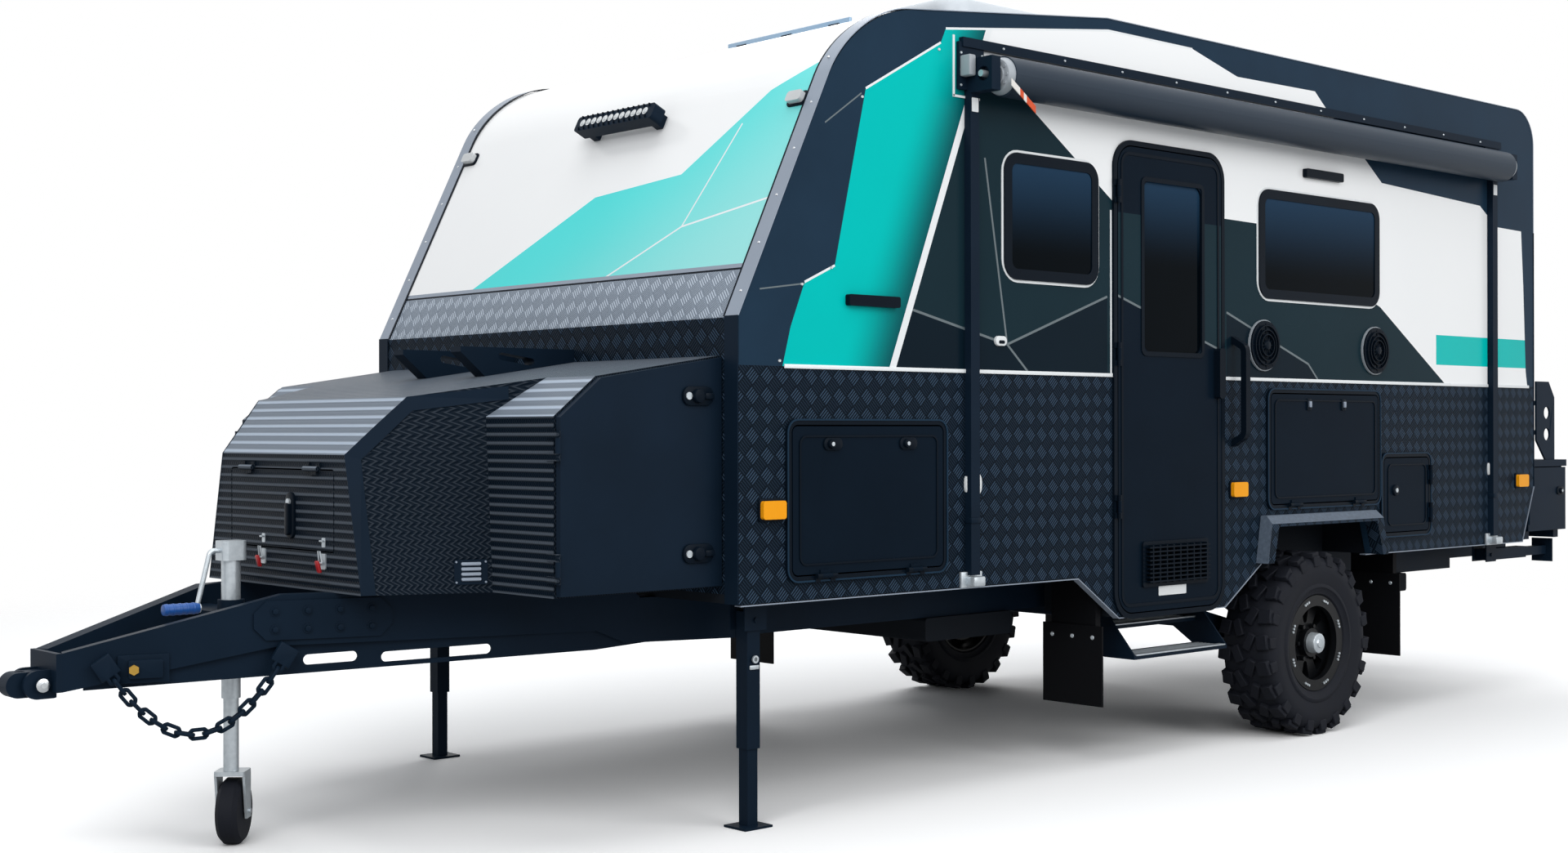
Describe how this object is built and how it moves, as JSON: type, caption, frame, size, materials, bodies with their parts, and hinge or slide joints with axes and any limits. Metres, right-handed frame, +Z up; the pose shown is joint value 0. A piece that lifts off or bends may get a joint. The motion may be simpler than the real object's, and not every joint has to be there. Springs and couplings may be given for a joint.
{
  "type": "off-road touring caravan",
  "caption": "Single-axle off-road caravan with a raked front, checker-plate skirts, wind-out awning, entry door, hatches, toolbox on the drawbar and jockey wheel",
  "frame": {"origin": "on the ground at the middle of the footprint box", "axes": "+X toward the coupling, +Y toward the door side, +Z up"},
  "size_m": [7.644, 2.439, 3.15],
  "materials": {
    "black_steel": "satin black powder coat",
    "wall_sheet": "gloss white sheet with printed colour fields",
    "floor_board": "sealed composite board",
    "black_trim": "satin",
    "tinted_glass": "dark tinted acrylic",
    "grey_vinyl": "rolled vinyl",
    "grey_trim": "dark anodised",
    "white_plastic": "gloss",
    "solar_cell": "dark cells behind glass",
    "clear_lens": "clear lens",
    "amber_lens": "amber lens",
    "red_lens": "red lens",
    "spring_steel": "gold passivated",
    "tyre": "matte rubber",
    "black_alloy": "satin black",
    "rubber": "matte",
    "zinc": "zinc plated"
  },
  "bodies": {
    "van": {"drawbar_rails": "black_steel", "chassis_rails": "black_steel", "cross_members": "black_steel", "coupling": "black_steel", "jockey_clamp": "black_steel", "leg_brackets": "black_steel", "toolbox_shell": "black_steel", "rack_arms": "black_steel", "suspension": "black_steel", "rear_rack": "black_steel", "rear_box": "black_steel", "water_tanks": "black_steel", "arch_flares": "black_steel", "entry_step": "black_steel", "wall_left": "wall_sheet", "wall_right": "wall_sheet", "wall_front": "wall_sheet", "wall_rear": "wall_sheet", "roof": "wall_sheet", "floor": "floor_board", "wall_frames": "black_trim", "window_panes": "tinted_glass", "wall_fittings": "black_trim", "awning_roller": "grey_vinyl", "awning_frame": "grey_trim", "air_conditioner": "white_plastic", "solar_panel": "solar_cell", "light_bar": "black_trim", "lamps_clear": "clear_lens", "lamps_amber": "amber_lens", "lamps_red": "red_lens", "springs_and_dampers": "spring_steel", "spare_wheel": "tyre", "mud_flaps": "rubber", "safety_chain": "zinc", "jockey_tube": "zinc", "jockey_crank": "zinc"},
    "wheel_left": {"tyre_left": "tyre", "rim_left": "black_alloy"},
    "wheel_right": {"tyre_right": "tyre", "rim_right": "black_alloy"},
    "jockey_leg": {"jockey_leg": "zinc"},
    "jockey_fork": {"jockey_fork": "black_steel"},
    "jockey_wheel": {"jockey_wheel": "rubber"},
    "leg_front_left": {"leg_front_left": "black_steel"},
    "leg_front_right": {"leg_front_right": "black_steel"},
    "leg_rear_left": {"leg_rear_left": "black_steel"},
    "leg_rear_right": {"leg_rear_right": "black_steel"},
    "entry_door": {"entry_door": "black_trim", "door_glass": "tinted_glass", "door_fittings": "black_trim"},
    "boot_hatch_left": {"boot_hatch_left": "black_steel"},
    "boot_hatch_right": {"boot_hatch_right": "black_steel"},
    "picnic_table": {"picnic_table": "black_steel"},
    "service_hatch": {"service_hatch": "black_steel"},
    "toolbox_front_door": {"toolbox_front_door": "black_steel"},
    "toolbox_door_left": {"toolbox_door_left": "black_steel"},
    "toolbox_door_right": {"toolbox_door_right": "black_steel"},
    "rear_box_door": {"rear_box_door": "black_steel"}
  },
  "joints": [
    {"name": "wheel_left_spin", "type": "hinge", "parent": "van", "child": "wheel_left", "pos_m": [-1.382, 0.9725, 0.395], "axis": [0, 1, 0], "continuous": true},
    {"name": "wheel_right_spin", "type": "hinge", "parent": "van", "child": "wheel_right", "pos_m": [-1.382, -1.0735, 0.395], "axis": [0, 1, 0], "continuous": true},
    {"name": "jockey_lift", "type": "slide", "parent": "van", "child": "jockey_leg", "axis": [0, 0, 1], "range_m": [0, 0.15]},
    {"name": "jockey_swivel", "type": "hinge", "parent": "jockey_leg", "child": "jockey_fork", "pos_m": [3.118, -0.0005, 0.25], "axis": [0, 0, 1], "continuous": true},
    {"name": "jockey_wheel_spin", "type": "hinge", "parent": "jockey_fork", "child": "jockey_wheel", "pos_m": [3.09793, -0.02279, 0.105], "axis": [-0.7431, 0.6691, 0], "continuous": true},
    {"name": "leg_front_left_fold", "type": "hinge", "parent": "van", "child": "leg_front_left", "pos_m": [1.718, 0.8985, 0.69], "axis": [0, 1, 0], "range_deg": [0, 90]},
    {"name": "leg_front_right_fold", "type": "hinge", "parent": "van", "child": "leg_front_right", "pos_m": [1.718, -0.9995, 0.69], "axis": [0, 1, 0], "range_deg": [0, 90]},
    {"name": "leg_rear_left_drop", "type": "hinge", "parent": "van", "child": "leg_rear_left", "pos_m": [-3.172, 0.8985, 0.69], "axis": [0, -1, 0], "range_deg": [0, 90]},
    {"name": "leg_rear_right_drop", "type": "hinge", "parent": "van", "child": "leg_rear_right", "pos_m": [-3.172, -0.9995, 0.69], "axis": [0, -1, 0], "range_deg": [0, 90]},
    {"name": "entry_door_swing", "type": "hinge", "parent": "van", "child": "entry_door", "pos_m": [-0.031, 1.0765, 1.5], "axis": [0, 0, -1], "range_deg": [0, 160]},
    {"name": "boot_hatch_left_drop", "type": "hinge", "parent": "van", "child": "boot_hatch_left", "pos_m": [1.31, 1.0765, 0.835], "axis": [-1, 0, 0], "range_deg": [0, 160]},
    {"name": "boot_hatch_right_drop", "type": "hinge", "parent": "van", "child": "boot_hatch_right", "pos_m": [1.31, -1.1775, 0.835], "axis": [1, 0, 0], "range_deg": [0, 160]},
    {"name": "picnic_table_drop", "type": "hinge", "parent": "van", "child": "picnic_table", "pos_m": [-1.4855, 1.0765, 0.996], "axis": [-1, 0, 0], "range_deg": [0, 90]},
    {"name": "service_hatch_swing", "type": "hinge", "parent": "van", "child": "service_hatch", "pos_m": [-2.35, 1.0765, 1.018], "axis": [0, 0, 1], "range_deg": [0, 150]},
    {"name": "toolbox_front_door_lift", "type": "hinge", "parent": "van", "child": "toolbox_front_door", "pos_m": [2.928, -0.0505, 1.198], "axis": [0, -1, 0], "range_deg": [0, 95]},
    {"name": "toolbox_door_left_swing", "type": "hinge", "parent": "van", "child": "toolbox_door_left", "pos_m": [2.553, 0.9895, 1.1], "axis": [0, 0, -1], "range_deg": [0, 150]},
    {"name": "toolbox_door_right_swing", "type": "hinge", "parent": "van", "child": "toolbox_door_right", "pos_m": [2.553, -1.0905, 1.1], "axis": [0, 0, 1], "range_deg": [0, 150]},
    {"name": "rear_box_door_swing", "type": "hinge", "parent": "van", "child": "rear_box_door", "pos_m": [-3.397, 1.0195, 0.96], "axis": [0, 0, -1], "range_deg": [0, 95]}
  ]
}
